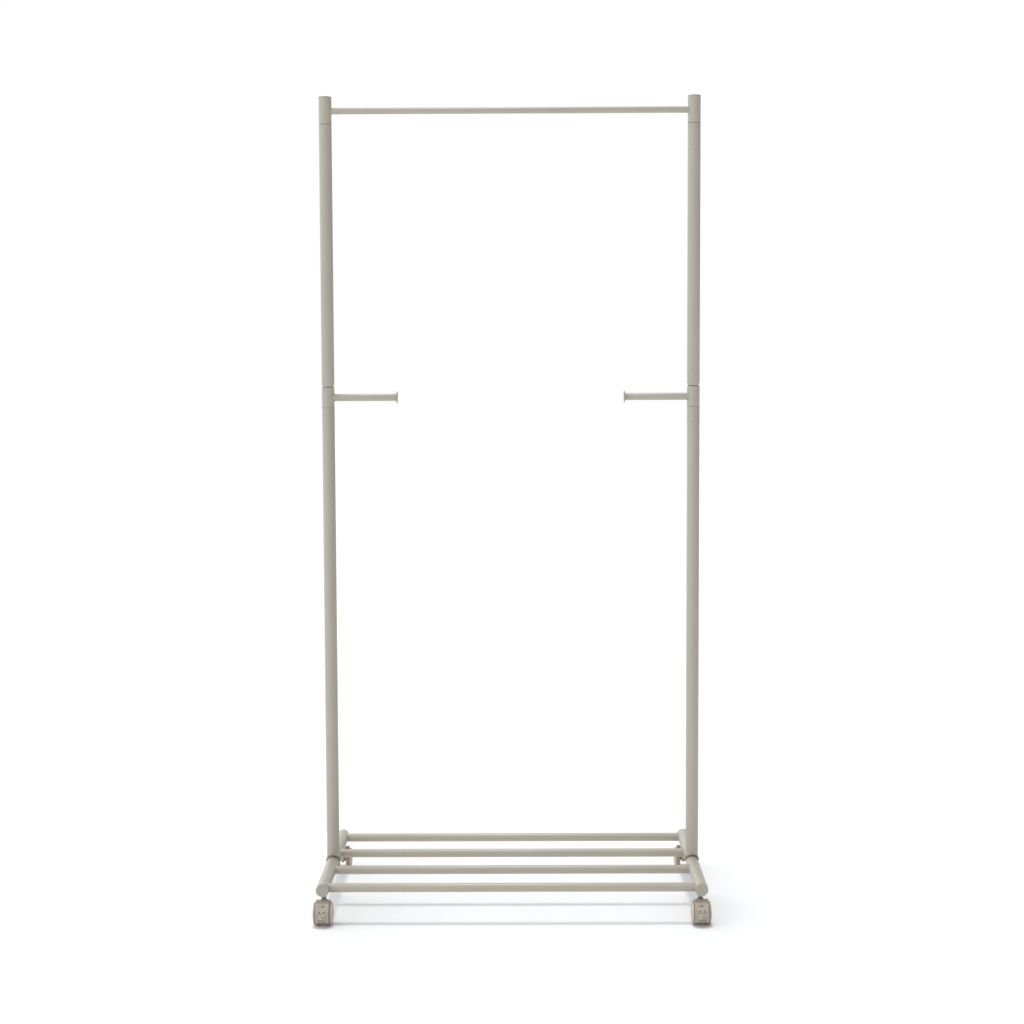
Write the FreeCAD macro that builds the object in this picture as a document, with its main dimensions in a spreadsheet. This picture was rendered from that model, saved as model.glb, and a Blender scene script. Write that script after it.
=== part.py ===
import FreeCAD, Part

import math
import os
import re

import Sketcher

# Rolling clothes rack, in millimetres.
# +Z is up and the floor is Z = 0. The origin is on the floor, midway between the two posts.
# +X is the user's right, and the front casters are on the -Y side.

SIZES = {
    # Posts, top rail and pegs
    "rack_height": 1784,
    "post_spacing": 810,
    "post_diameter": 28,
    "tube_wall": 1.5,
    "tee_length": 60,
    "hanging_height": 1753,
    "hanging_diameter": 14,
    "hanging_wall": 1.2,
    "neck_height": 1148,
    "neck_gap": 1.5,
    "neck_collar_diameter": 23,
    "swage_length": 6.5,
    "swage_step": 1.7,
    "swage_bore": 21.6,
    "sleeve_length": 45,
    "sleeve_rounding": 1.2,
    "peg_height": 1125,
    "peg_diameter": 16,
    "peg_reach": 154,
    "disc_diameter": 28,
    "disc_thickness": 3,
    # Base
    "rail_height": 77,
    "rail_length": 434,
    "bar_diameter": 19,
    "bar_pitch": 130,
    "saddle_diameter": 33,
    "saddle_thickness": 3,
    "cap_thickness": 2.5,
    "cap_plug": 10,
    "cap_bevel": 0.6,
    # Hidden joining pieces
    "slip_fit": 0.05,
    "spigot_reach": 80,
    "spigot_bore": 16,
    "top_spigot_length": 60,
    "top_spigot_in_tee": 20,
    "insert_length": 14,
    "foot_insert_length": 25,
    "foot_spigot": 12,
    # Fasteners
    "screw_diameter": 6,
    "screw_head": 11,
    "screw_length": 40,
    "screw_depth": 0.6,
    "screw_slack": 0.1,
    "foot_bolt_diameter": 8,
    "foot_bolt_head": 13,
    "foot_bolt_head_height": 4,
    "nut_flange": 13,
    "nut_flange_height": 0.6,
    "nut_body": 12,
    "nut_length": 10,
    # Casters
    "wheel_diameter": 50,
    "tread_inner": 9.6,
    "tread_outer": 17.6,
    "dome_edge": 19,
    "caster_half_width": 22.35,
    "wheel_face": 8.2,
    "trail": 18,
    "caster_setback": 188,
    "stem_collar": 11.4,
    "stem_pin": 8,
    "stem_thread_length": 11,
    "clip_thickness": 1,
    "clip_diameter": 9.4,
    "groove_diameter": 6.4,
    "groove_rise": 34,
    "axle_diameter": 6,
    "axle_half_length": 18,
    "running_fit": 0.05,
    "air_gap": 0.3,
    "hood_half_width": 14.2,
    "hood_gap": 1,
    "hood_wall": 2,
    "hood_top": 49.7,
    "boss_diameter": 14.5,
    "web_half_width": 3,
    "pin_forward": 15,
    "pin_rise": 4,
    "pin_diameter": 3,
    "pedal_half_width": 7.8,
    "window_gap": 0.5,
    "window_drop": 10,
    "window_rise": 6.2,
    "dish_length": 18,
    "dish_width": 10.4,
    "dish_depth": 1.2,
    "slot_length": 8,
    "slot_width": 3.4,
    "slot_rise": 1.6,
    "drain_diameter": 3,
    "drain_spacing": 10,
    "drain_rise": 9.6,
}

SIDES = {"left": -1, "right": 1}
ENDS = {"front": -1, "rear": 1}
BRAKED_END = "front"
BAR_COUNT = 4

HOOD_FRONT_ANGLE = -28
HOOD_BACK_ANGLE = 160
DISH_ANGLE = 42

V = FreeCAD.Vector
HALF_TURN = FreeCAD.Rotation(V(0, 0, 1), 180)
UPRIGHT = FreeCAD.Rotation()
# A piece modelled along +Z is laid along Y, or along X from left to right.
ALONG_Y = FreeCAD.Rotation(V(1, 0, 0), 90)
ALONG_X = FreeCAD.Rotation(V(0, 1, 0), 90)
# The same, but from the right-hand post inwards, with the piece's own Y upright.
INWARDS = FreeCAD.Rotation(V(0, -1, 0), V(0, 0, 1), V(-1, 0, 0), "ZYX")

doc = FreeCAD.newDocument("rolling_clothes_rack")
sheet = doc.addObject("Spreadsheet::Sheet", "size")
nodes = []


# Sheet and expressions

def fill_sheet():
    """One row for each driving dimension: its name, its value and the alias."""
    for row, (name, value) in enumerate(SIZES.items(), start=1):
        sheet.set(f"A{row}", name)
        sheet.set(f"B{row}", str(value))
        sheet.setAlias(f"B{row}", name)
    doc.recompute()


def full(expression):
    """Write 'size.' before each name that the sheet holds."""
    return re.sub(r"[a-z_]+", lambda m: "size." + m[0] if m[0] in SIZES else m[0], expression)


def number(expression):
    """The present value of an expression."""
    return float(sheet.evalExpression(full(expression)))


def place(piece, x="0", y="0", z="0", turn=UPRIGHT):
    """Turn a piece and bind its position to expressions."""
    piece.Placement = FreeCAD.Placement(V(number(x), number(y), number(z)), turn)
    for axis, expression in zip("xyz", (x, y, z)):
        piece.setExpression(f"Placement.Base.{axis}", full(expression))


def side_turn(side):
    """Pieces are modelled for the right-hand post, and half turned for the left one."""
    return HALF_TURN if side == "left" else UPRIGHT


def post_x(side):
    """The expression for a post's X."""
    return f"{SIDES[side]} * post_spacing / 2"


# Sketches

def new_body(label):
    """An empty body, named for its piece."""
    body = doc.addObject("PartDesign::Body", label)
    body.Label = label
    return body


def new_sketch(body, plane, offset="0", tilt=0):
    """A sketch on one of the body's own planes, moved along its normal or tilted about its X."""
    sketch = body.newObject("Sketcher::SketchObject", "sketch")
    support = next(f for f in body.Origin.OriginFeatures if f.Role == plane + "_Plane")
    sketch.AttachmentSupport = (support, "")
    sketch.MapMode = "FlatFace"
    sketch.AttachmentOffset = FreeCAD.Placement(V(0, 0, number(offset)),
                                                FreeCAD.Rotation(V(1, 0, 0), tilt))
    return sketch


def hold(sketch, element, end, x, y):
    """Constrain one point of a sketch to expressions for its X and Y."""
    for kind, value, axis in (("DistanceX", x, -2), ("DistanceY", y, -1)):
        if value == "0":
            sketch.addConstraint(Sketcher.Constraint("PointOnObject", element, end, axis))
        else:
            size = Sketcher.Constraint(kind, -1, 1, element, end, number(value))
            index = sketch.addConstraint(size)
            sketch.setExpression(f"Constraints[{index}]", full(value))


def hold_radius(sketch, element, radius):
    """Constrain the radius of a circle or an arc to an expression."""
    index = sketch.addConstraint(Sketcher.Constraint("Radius", element, number(radius)))
    sketch.setExpression(f"Constraints[{index}]", full(radius))


def circle(sketch, radius, x="0", y="0"):
    """A circle about the point x, y."""
    centre = V(number(x), number(y), 0)
    index = sketch.addGeometry(Part.Circle(centre, V(0, 0, 1), number(radius)), False)
    hold(sketch, index, 3, x, y)
    hold_radius(sketch, index, radius)


def outward_arc(start, end, radius):
    """The anticlockwise arc from start to end, less than half a circle."""
    chord = end - start
    inset = math.sqrt(radius ** 2 - (chord.Length / 2) ** 2)
    left = V(-chord.y, chord.x, 0).normalize()
    centre = (start + end) / 2 + left * inset
    first, last = (math.atan2(p.y - centre.y, p.x - centre.x) for p in (start, end))
    return Part.ArcOfCircle(Part.Circle(centre, V(0, 0, 1), radius), first, last)


def outline(sketch, corners):
    """A closed outline, listed anticlockwise. A corner's third value bends the next edge."""
    points = [V(number(corner[0]), number(corner[1]), 0) for corner in corners]
    count = len(corners)
    for i, corner in enumerate(corners):
        start, end = points[i], points[(i + 1) % count]
        if len(corner) == 3:
            edge = outward_arc(start, end, number(corner[2]))
        else:
            edge = Part.LineSegment(start, end)
        sketch.addGeometry(edge, False)
    for i, corner in enumerate(corners):
        sketch.addConstraint(Sketcher.Constraint("Coincident", i, 2, (i + 1) % count, 1))
        hold(sketch, i, 1, corner[0], corner[1])
        if len(corner) == 3:
            hold_radius(sketch, i, corner[2])


def rectangle(sketch, left, bottom, right, top):
    """A rectangle from its four edges."""
    outline(sketch, [(left, bottom), (right, bottom), (right, top), (left, top)])


def oval(sketch, half_length, radius, y="0"):
    """Two half circles joined by straight sides, along the sketch's X."""
    top, bottom = f"{y} + {radius}", f"{y} - {radius}"
    flat = f"({half_length} - {radius})"
    outline(sketch, [("-" + flat, bottom), (flat, bottom, radius), (half_length, y, radius),
                     (flat, top), ("-" + flat, top, radius), ("-" + half_length, y, radius)])


# Features

def add(body, kind, sketch):
    """A feature of the body that uses this sketch."""
    feature = body.newObject("PartDesign::" + kind, kind.lower())
    feature.Profile = sketch
    sketch.Visibility = False
    return feature


def finish_cut(body, feature, before):
    """Recompute and make sure that a cut took something away."""
    doc.recompute()
    if body.Shape.Volume > before - 1e-3:
        raise RuntimeError(f"{feature.Name} in {body.Label} cuts nothing")
    return feature


def pad(body, sketch, length, symmetric=False):
    """Pad a sketch by an expression."""
    feature = add(body, "Pad", sketch)
    feature.setExpression("Length", full(length))
    feature.SideType = "Symmetric" if symmetric else "One side"
    doc.recompute()
    return feature


def pocket(body, sketch, length=None, both_ways=False, along_normal=False):
    """Cut a sketch out of the body, right through it if no length is given."""
    before = body.Shape.Volume
    feature = add(body, "Pocket", sketch)
    if length is None:
        feature.Type = "ThroughAll"
    else:
        feature.setExpression("Length", full(length))
    feature.SideType = "Symmetric" if both_ways else "One side"
    feature.Reversed = along_normal
    return finish_cut(body, feature, before)


def origin_axis(body, axis):
    """One of the body's own axes, as a reference."""
    return (next(f for f in body.Origin.OriginFeatures if f.Role == axis + "_Axis"), [""])


def revolve(body, sketch, axis, angle=360):
    """Revolve a sketch about one of the body's axes."""
    feature = add(body, "Revolution", sketch)
    feature.ReferenceAxis = origin_axis(body, axis)
    feature.Angle = angle
    doc.recompute()
    return feature


def groove(body, sketch, axis):
    """Cut a full turn of a sketch about one of the sketch's axes."""
    before = body.Shape.Volume
    feature = add(body, "Groove", sketch)
    feature.ReferenceAxis = (sketch, [axis])
    feature.Angle = 360
    return finish_cut(body, feature, before)


def round_edges(body, radius, chosen):
    """Fillet the edges of the present shape that a test picks."""
    base = body.Tip
    names = [f"Edge{i}" for i, edge in enumerate(base.Shape.Edges, start=1) if chosen(edge)]
    feature = body.newObject("PartDesign::Fillet", "fillet")
    feature.Base = (base, names)
    feature.setExpression("Radius", full(radius))
    doc.recompute()
    return feature


# Shapes that several pieces share

def turned(label, corners, **where):
    """A piece turned about Z from a profile of radius and height."""
    body = new_body(label)
    sketch = new_sketch(body, "XZ")
    outline(sketch, corners)
    revolve(body, sketch, "Z")
    place(body, **where)
    return body


def tube(label, radius, wall, length, **where):
    """A round tube along Z."""
    body = new_body(label)
    sketch = new_sketch(body, "XY")
    circle(sketch, radius)
    circle(sketch, f"{radius} - {wall}")
    pad(body, sketch, length)
    place(body, **where)
    return body


def cope(body, radius, heights):
    """Shape a tube's ends to the round tubes that cross it along its own Y."""
    sketch = new_sketch(body, "XZ")
    for height in heights:
        circle(sketch, radius, "0", height)
    pocket(body, sketch, both_ways=True)


def screw_hole(body, height):
    """A hole right across a post tube, countersunk on its +X side for a cross screw."""
    radius = "(screw_diameter / 2 + screw_slack)"
    sketch = new_sketch(body, "YZ")
    circle(sketch, radius, "0", height)
    hole = pocket(body, sketch, both_ways=True)
    face = "(post_diameter / 2 - screw_depth)"
    wide = "(screw_head / 2 + screw_slack)"
    cone_start = f"{face} - {wide} + {radius}"
    sketch = new_sketch(body, "XZ")
    sketch.AttachmentOffset = FreeCAD.Placement(V(0, number(height), 0), UPRIGHT)
    outline(sketch, [(cone_start, "0"), ("post_diameter", "0"), ("post_diameter", wide),
                     (face, wide), (cone_start, radius)])
    return [hole, groove(body, sketch, "H_Axis")]


def hex_socket(body, across, depth, plane_height):
    """A hexagonal socket in a screw's head, opening towards -Z."""
    sketch = new_sketch(body, "XY", offset=plane_height)
    corner = f"({across} / 1.732)"
    outline(sketch, [(f"{corner} * {math.cos(math.radians(a)):.4f}",
                      f"{corner} * {math.sin(math.radians(a)):.4f}")
                     for a in range(30, 390, 60)])
    pocket(body, sketch, depth, along_normal=True)


def group(label, pieces):
    """Identical fasteners as one node of separate solids."""
    compound = doc.addObject("Part::Compound", label)
    compound.Label = label
    compound.Links = pieces
    nodes.append(compound)


def keep(piece):
    """Count a piece as a node of its own."""
    nodes.append(piece)


# Posts, top rail and pegs

def make_lower_post(side):
    """Tube from the foot saddle to the hook sleeve, its foot coped to the saddle."""
    body = tube(f"{side}_lower_post", "post_diameter / 2", "tube_wall",
                "neck_height - sleeve_length - rail_height", x=post_x(side), z="rail_height")
    cope(body, "post_diameter / 2 + saddle_thickness", ["0"])
    keep(body)


def make_upper_post(side):
    """Tube with a swaged lower end that grips the spigot above the neck."""
    outer = "post_diameter / 2"
    top = "rack_height - tee_length - neck_height - neck_gap"
    body = turned(f"{side}_upper_post", [
        ("swage_bore / 2", "0"), (f"{outer} - swage_step", "0"),
        (outer, "swage_length"), (outer, top),
        (f"{outer} - tube_wall", top), (f"{outer} - tube_wall", "swage_length"),
    ], x=post_x(side), z="neck_height + neck_gap")
    keep(body)


def make_post_spigot(side):
    """Inner bar that joins the lower post, the sleeve and the upper post."""
    inside = "post_diameter / 2 - tube_wall - slip_fit"
    neck = "spigot_reach + sleeve_length"
    bore = "spigot_bore / 2"
    narrow = "swage_bore / 2 - slip_fit"
    body = turned(f"{side}_post_spigot", [
        (bore, "0"), (inside, "0"), (inside, neck),
        ("neck_collar_diameter / 2", neck), ("neck_collar_diameter / 2", f"{neck} + neck_gap"),
        (narrow, f"{neck} + neck_gap"), (narrow, f"{neck} + spigot_reach"),
        (bore, f"{neck} + spigot_reach"),
    ], x=post_x(side), z="neck_height - sleeve_length - spigot_reach", turn=side_turn(side))
    screw_hole(body, "peg_height - neck_height + sleeve_length + spigot_reach")
    keep(body)


def make_hook_sleeve(side):
    """Short tube that carries the peg, rounded at its upper edge."""
    body = tube(f"{side}_hook_sleeve", "post_diameter / 2", "tube_wall", "sleeve_length",
                x=post_x(side), z="neck_height - sleeve_length", turn=side_turn(side))
    outer, top = number("post_diameter / 2"), number("sleeve_length")
    round_edges(body, "sleeve_rounding",
                lambda e: abs(e.CenterOfMass.z - top) < 1e-3 and e.Curve.Radius > outer - 1e-3)
    screw_hole(body, "peg_height - neck_height + sleeve_length")
    keep(body)


def make_hook_peg(side):
    """Peg tube from the sleeve inwards, coped to the sleeve."""
    body = tube(f"{side}_hook_peg", "peg_diameter / 2", "tube_wall",
                "peg_reach - disc_thickness", x=post_x(side), z="peg_height",
                turn=side_turn(side) * INWARDS)
    cope(body, "post_diameter / 2", ["0"])
    keep(body)


def make_peg_end_disc(side):
    """Flared disc with a plug that closes the peg's free end."""
    plug = "peg_diameter / 2 - tube_wall - slip_fit"
    rim = "disc_diameter / 2"
    reach = f"{SIDES[side]} * (post_spacing / 2 - peg_reach + disc_thickness)"
    body = turned(f"{side}_peg_end_disc", [
        ("0", "-cap_plug"), (plug, "-cap_plug"), (plug, "0"), ("peg_diameter / 2 + 0.4", "0"),
        (f"{rim} - 0.8", "disc_thickness - 1.3"), (rim, "disc_thickness - 1"),
        (rim, "disc_thickness - 0.4"), (f"{rim} - 0.6", "disc_thickness"),
        ("0", "disc_thickness"),
    ], x=reach, z="peg_height", turn=side_turn(side) * INWARDS)
    keep(body)


def make_top_tee(side):
    """Short tube at the top of the post that the hanging rail is screwed to."""
    body = tube(f"{side}_top_tee", "post_diameter / 2", "tube_wall",
                "tee_length - cap_thickness", x=post_x(side), z="rack_height - tee_length",
                turn=side_turn(side))
    screw_hole(body, "hanging_height - rack_height + tee_length")
    keep(body)


def make_top_spigot(side):
    """Inner tube that joins the tee to the upper post."""
    keep(tube(f"{side}_top_spigot", "(post_diameter / 2 - tube_wall - slip_fit)", "tube_wall",
              "top_spigot_length", x=post_x(side),
              z="rack_height - tee_length - top_spigot_length + top_spigot_in_tee"))


def make_hanging_rail():
    """Thin tube between the two tees."""
    body = tube("hanging_rail", "hanging_diameter / 2", "hanging_wall", "post_spacing",
                x=post_x("left"), z="hanging_height", turn=HALF_TURN * INWARDS)
    cope(body, "post_diameter / 2", ["0", "post_spacing"])
    keep(body)


def make_end_cap(label, **where):
    """Flat cap with a plug, for the open end of a post tube."""
    outer = "post_diameter / 2"
    plug = f"{outer} - tube_wall - slip_fit"
    keep(turned(label, [
        ("0", "-cap_plug"), (plug, "-cap_plug"), (plug, "0"), (outer, "0"),
        (outer, "cap_thickness - cap_bevel"), (f"{outer} - cap_bevel", "cap_thickness"),
        ("0", "cap_thickness"),
    ], **where))


# Base

def make_side_rail(side):
    """Front-to-back tube, drilled for the post, the base bars and the casters."""
    body = tube(f"{side}_side_rail", "post_diameter / 2", "tube_wall",
                "rail_length - 2 * cap_thickness", x=post_x(side),
                y="rail_length / 2 - cap_thickness", z="rail_height", turn=ALONG_Y)
    middle = "rail_length / 2 - cap_thickness"

    foot = new_sketch(body, "XZ")
    circle(foot, "foot_bolt_diameter / 2 + screw_slack", "0", middle)
    pocket(body, foot, both_ways=True)

    nuts = new_sketch(body, "XZ")
    for end in ENDS.values():
        circle(nuts, "nut_body / 2 + screw_slack", "0", f"{middle} + {end} * caster_setback")
    pocket(body, nuts, "post_diameter", along_normal=True)

    if side == "left":
        body.Placement.Rotation = HALF_TURN * ALONG_Y
        body.setExpression("Placement.Base.y", full(f"-({middle})"))
    row = screw_hole(body, f"{middle} - {(BAR_COUNT - 1) / 2} * bar_pitch")
    pattern = body.newObject("PartDesign::LinearPattern", "bar_holes")
    pattern.Originals = row
    pattern.Direction = origin_axis(body, "Z")
    pattern.Occurrences = BAR_COUNT
    pattern.setExpression("Length", full(f"{BAR_COUNT - 1} * bar_pitch"))
    body.Tip = pattern
    doc.recompute()
    keep(body)


def bar_y(index):
    """The expression for a base bar's Y, counted from the front."""
    return f"{index - (BAR_COUNT - 1) / 2} * bar_pitch"


def make_base_bar(index):
    """Bar between the side rails, coped to them at both ends."""
    body = tube(f"base_bar_{index + 1}", "bar_diameter / 2", "tube_wall", "post_spacing",
                x=post_x("left"), y=bar_y(index), z="rail_height", turn=ALONG_X)
    cope(body, "post_diameter / 2", ["0", "post_spacing"])
    keep(body)


def cylinder(name, radius, length, z="0", turn=UPRIGHT, centred=False):
    """A Part cylinder along Z or, turned, along Y about its middle."""
    piece = doc.addObject("Part::Cylinder", name)
    piece.setExpression("Radius", full(radius))
    piece.setExpression("Height", full(length))
    place(piece, y=f"({length}) / 2" if centred else "0", z=z, turn=turn)
    return piece


def make_foot_saddle(side):
    """Saddle washer between post and side rail, with a spigot up inside the post."""
    name = f"{side}_foot_saddle"
    rail, above = "post_diameter / 2", "post_diameter / 2 + saddle_thickness"
    across = "2 * saddle_diameter"
    lip = doc.addObject("Part::Common", name + "_lip")
    lip.Base = cylinder(name + "_disc", "saddle_diameter / 2", above, z="2")
    lip.Tool = cylinder(name + "_crown", above, across, turn=ALONG_Y, centred=True)
    body = doc.addObject("Part::Fuse", name + "_body")
    body.Base = lip
    body.Tool = cylinder(name + "_spigot", f"{rail} - tube_wall - slip_fit", "foot_spigot + 6",
                         z=f"{above} - 6")
    seat = doc.addObject("Part::Cut", name + "_seat")
    seat.Base = body
    seat.Tool = cylinder(name + "_rail", rail, across, turn=ALONG_Y, centred=True)
    saddle = doc.addObject("Part::Cut", name)
    saddle.Base = seat
    saddle.Tool = cylinder(name + "_bore", "foot_bolt_diameter / 2 + screw_slack",
                           "rail_height")
    saddle.Label = name
    place(saddle, x=post_x(side), z="rail_height")
    keep(saddle)


# Fasteners and threaded inserts

def make_cross_screws():
    """Countersunk screws that hold the hanging rail, the pegs and the base bars."""
    spots = [("0", "hanging_height"), ("0", "peg_height")]
    spots += [(bar_y(index), "rail_height") for index in range(BAR_COUNT)]
    radius, head = "screw_diameter / 2", "screw_head / 2"
    top = "screw_depth - post_diameter / 2"
    screws = []
    for side in SIDES:
        for y, z in spots:
            screw = turned(f"cross_screw_{len(screws) + 1}", [
                ("0", top), (head, top), (radius, f"{top} + {head} - {radius}"),
                (radius, f"{top} + screw_length"), ("0", f"{top} + screw_length"),
            ], x=post_x(side), y=y, z=z, turn=side_turn(side) * INWARDS)
            hex_socket(screw, "4", "2.2", top)
            screws.append(screw)
    group("cross_screws", screws)


def make_inserts(name, radius, spots, turn=INWARDS):
    """Threaded plugs inside the bar ends that the cross screws bite in."""
    start = "post_diameter / 2 + 1"
    bore = "screw_diameter / 2"
    inserts = []
    for side in SIDES:
        for y, z in spots:
            inserts.append(turned(f"{name}_{len(inserts) + 1}", [
                (bore, start), (radius, start), (radius, f"{start} + insert_length"),
                (bore, f"{start} + insert_length"),
            ], x=post_x(side), y=y, z=z, turn=side_turn(side) * turn))
    group(name, inserts)


def make_foot_fasteners():
    """A bolt up through each side rail and the threaded plug in each post that takes it."""
    rail, shank = "post_diameter / 2", "foot_bolt_diameter / 2"
    low = "post_diameter / 2 + saddle_thickness + foot_spigot + 1"
    high = f"{low} + foot_insert_length"
    bolts, plugs = [], []
    for side in SIDES:
        bolt = turned(f"{side}_foot_bolt", [
            ("0", f"-{rail} - foot_bolt_head_height"),
            ("foot_bolt_head / 2 - 1", f"-{rail} - foot_bolt_head_height"),
            ("foot_bolt_head / 2", f"-{rail} - foot_bolt_head_height + 1"),
            ("foot_bolt_head / 2", f"-{rail}"), (shank, f"-{rail}"), (shank, high), ("0", high),
        ], x=post_x(side), z="rail_height")
        hex_socket(bolt, "5", "2.5", f"-{rail} - foot_bolt_head_height")
        bolts.append(bolt)
        plug = f"{rail} - tube_wall"
        plugs.append(turned(f"{side}_foot_insert", [
            (shank, low), (plug, low), (plug, high), (shank, high),
        ], x=post_x(side), z="rail_height"))
    group("foot_bolts", bolts)
    group("foot_inserts", plugs)


# Casters

def caster_spots():
    """Each caster's name, side, end and the expressions for its stem."""
    for end, forward in ENDS.items():
        for side in SIDES:
            yield f"{end}_{side}", side, end, post_x(side), f"{forward} * caster_setback"


def make_caster_stems():
    """Threaded stems, the nuts in the rails that hold them, and their retaining clips."""
    pin, collar = "stem_pin / 2", "stem_collar / 2"
    neck = "rail_height - post_diameter / 2 - nut_flange_height"
    low = "groove_rise - 4"
    groove_top = "groove_rise + clip_thickness + 0.2"
    stems, nuts, clips = [], [], []
    for name, side, end, x, y in caster_spots():
        stems.append(turned(f"{name}_stem", [
            ("0", low), (f"{pin} - 0.8", low), (pin, f"{low} + 0.8"), (pin, "groove_rise"),
            ("groove_diameter / 2", "groove_rise"), ("groove_diameter / 2", groove_top),
            (pin, groove_top), (pin, "hood_top + air_gap"), (collar, "hood_top + air_gap"),
            (collar, f"{neck} - 0.5"), (f"{collar} - 0.5", neck), (pin, neck),
            (pin, f"{neck} + stem_thread_length"), ("0", f"{neck} + stem_thread_length"),
        ], x=x, y=y))
        nuts.append(turned(f"{name}_nut", [
            (pin, neck), ("nut_flange / 2", neck), ("nut_flange / 2", f"{neck} + nut_flange_height"),
            ("nut_body / 2", f"{neck} + nut_flange_height"), ("nut_body / 2", f"{neck} + nut_length"),
            (pin, f"{neck} + nut_length"),
        ], x=x, y=y))
        clips.append(make_stem_clip(f"{name}_clip", x, y))
    group("caster_stems", stems)
    group("caster_nuts", nuts)
    group("stem_clips", clips)


def make_stem_clip(label, x, y):
    """Split ring in the stem's groove, open on one side."""
    body = new_body(label)
    sketch = new_sketch(body, "XY")
    circle(sketch, "clip_diameter / 2")
    circle(sketch, "groove_diameter / 2")
    pad(body, sketch, "clip_thickness")
    mouth = new_sketch(body, "XY")
    rectangle(mouth, "1", "-1", "clip_diameter", "1")
    pocket(body, mouth, "clip_thickness", along_normal=True)
    place(body, x=x, y=y, z="groove_rise + 0.1")
    return body


def place_on_axle(body, name_end, x, turn=UPRIGHT):
    """Put a caster piece at its axle. The front casters trail to the front."""
    forward = ENDS[name_end]
    facing = HALF_TURN if name_end == "front" else UPRIGHT
    place(body, x=x, y=f"{forward} * (caster_setback + trail)", z="wheel_diameter / 2",
          turn=facing * turn)


def hood_web(body, braked):
    """Middle plate of the hood, cut away below the axle and, with a brake, in front."""
    inside = "wheel_diameter / 2 + hood_gap"
    plate = new_sketch(body, "YZ")
    circle(plate, f"{inside} + hood_wall / 2")
    pad(body, plate, "2 * web_half_width", symmetric=True)
    front = "pin_forward + 4.5"
    shelf = "8.5" if braked else "-8"
    waste = new_sketch(body, "YZ")
    outline(waste, [
        ("-40", "-40"), ("40", "-40"), ("40", shelf), (front, shelf), (front, "-1"),
        ("8", "-7.5"), ("-8", "-7.5"), ("-26", "8"), ("-40", "8"),
    ] if braked else [
        ("-40", "-40"), ("40", "-40"), ("40", shelf), ("-8", shelf), ("-26", "8"), ("-40", "8"),
    ])
    pocket(body, waste, both_ways=True)


def hood_shell(body):
    """Fender over both treads, turned about the axle."""
    inside = "wheel_diameter / 2 + hood_gap"
    shell = new_sketch(body, "XY", tilt=HOOD_FRONT_ANGLE)
    rectangle(shell, "-hood_half_width", inside, "hood_half_width", f"{inside} + hood_wall")
    revolve(body, shell, "X", HOOD_BACK_ANGLE - HOOD_FRONT_ANGLE)
    rim = number(f"{inside} + hood_wall")
    round_edges(body, "0.6", lambda e: isinstance(e.Curve, Part.Circle)
                and abs(e.Curve.Radius - rim) < 1e-3 and abs(e.CenterOfMass.x) > 10)


def hood_bosses(body):
    """Bosses for the axle and the stem."""
    axle = new_sketch(body, "YZ")
    circle(axle, "7")
    pad(body, axle, "2 * (wheel_face - air_gap)", symmetric=True)
    stem = new_sketch(body, "XY")
    circle(stem, "boss_diameter / 2", "0", "-trail")
    pad(body, stem, "hood_top - wheel_diameter / 2")


def hood_bores(body):
    """Bores for the axle and the stem, a seat for its collar, and room for its clip."""
    axle = new_sketch(body, "YZ")
    circle(axle, "axle_diameter / 2")
    pocket(body, axle, both_ways=True)
    top = "hood_top - wheel_diameter / 2"
    bore = "stem_pin / 2 + running_fit"
    room = "clip_diameter / 2 + air_gap"
    low = "groove_rise - wheel_diameter / 2 - 0.6"
    stem = new_sketch(body, "YZ")
    stem.AttachmentOffset = FreeCAD.Placement(V(number("-trail"), 0, 0), UPRIGHT)
    outline(stem, [
        ("0", f"{low} - 4.5"), (bore, f"{low} - 4.5"), (bore, low), (room, low),
        (room, f"{low} + clip_thickness + 1.2"), (bore, f"{low} + clip_thickness + 1.2"),
        (bore, top), ("stem_collar / 2 + air_gap", top),
        ("stem_collar / 2 + air_gap", f"{top} + 4"), ("0", f"{top} + 4"),
    ])
    groove(body, stem, "V_Axis")


def hood_face(body):
    """Oval dish with a slot, and two drain holes, in the fender's front."""
    rim = "wheel_diameter / 2 + hood_gap + hood_wall"
    facing = FreeCAD.Rotation(V(1, 0, 0), DISH_ANGLE)
    dish = new_sketch(body, "XZ")
    dish.AttachmentOffset = FreeCAD.Placement(
        facing.multVec(V(0, 0, number(f"dish_depth - ({rim})"))), facing)
    oval(dish, "dish_length / 2", "dish_width / 2")
    pocket(body, dish, "3 * hood_wall")
    slot = new_sketch(body, "XZ")
    slot.AttachmentOffset = FreeCAD.Placement(
        facing.multVec(V(0, 0, number(f"2 * hood_wall - ({rim})"))), facing)
    oval(slot, "slot_length / 2", "slot_width / 2", "slot_rise")
    pocket(body, slot, "4 * hood_wall")
    drains = new_sketch(body, "XZ")
    for x in ("-drain_spacing / 2", "drain_spacing / 2"):
        circle(drains, "drain_diameter / 2", x, "drain_rise")
    pocket(body, drains, rim + " + 1")


def make_hood(name, end, x):
    """Caster hood: web, fender and bosses in one moulding."""
    braked = end == BRAKED_END
    body = new_body(f"{name}_hood")
    hood_web(body, braked)
    hood_shell(body)
    hood_bosses(body)
    hood_bores(body)
    if braked:
        window = new_sketch(body, "XZ", offset="-pin_forward - 7")
        half = "(pedal_half_width + window_gap)"
        rectangle(window, f"-{half}", "-window_drop", half, "window_rise")
        pocket(body, window, "5 * hood_wall")
        pin = new_sketch(body, "YZ")
        circle(pin, "pin_diameter / 2", "pin_forward", "pin_rise")
        pocket(body, pin, both_ways=True)
    hood_face(body)
    place_on_axle(body, end, x)
    keep(body)


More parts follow.
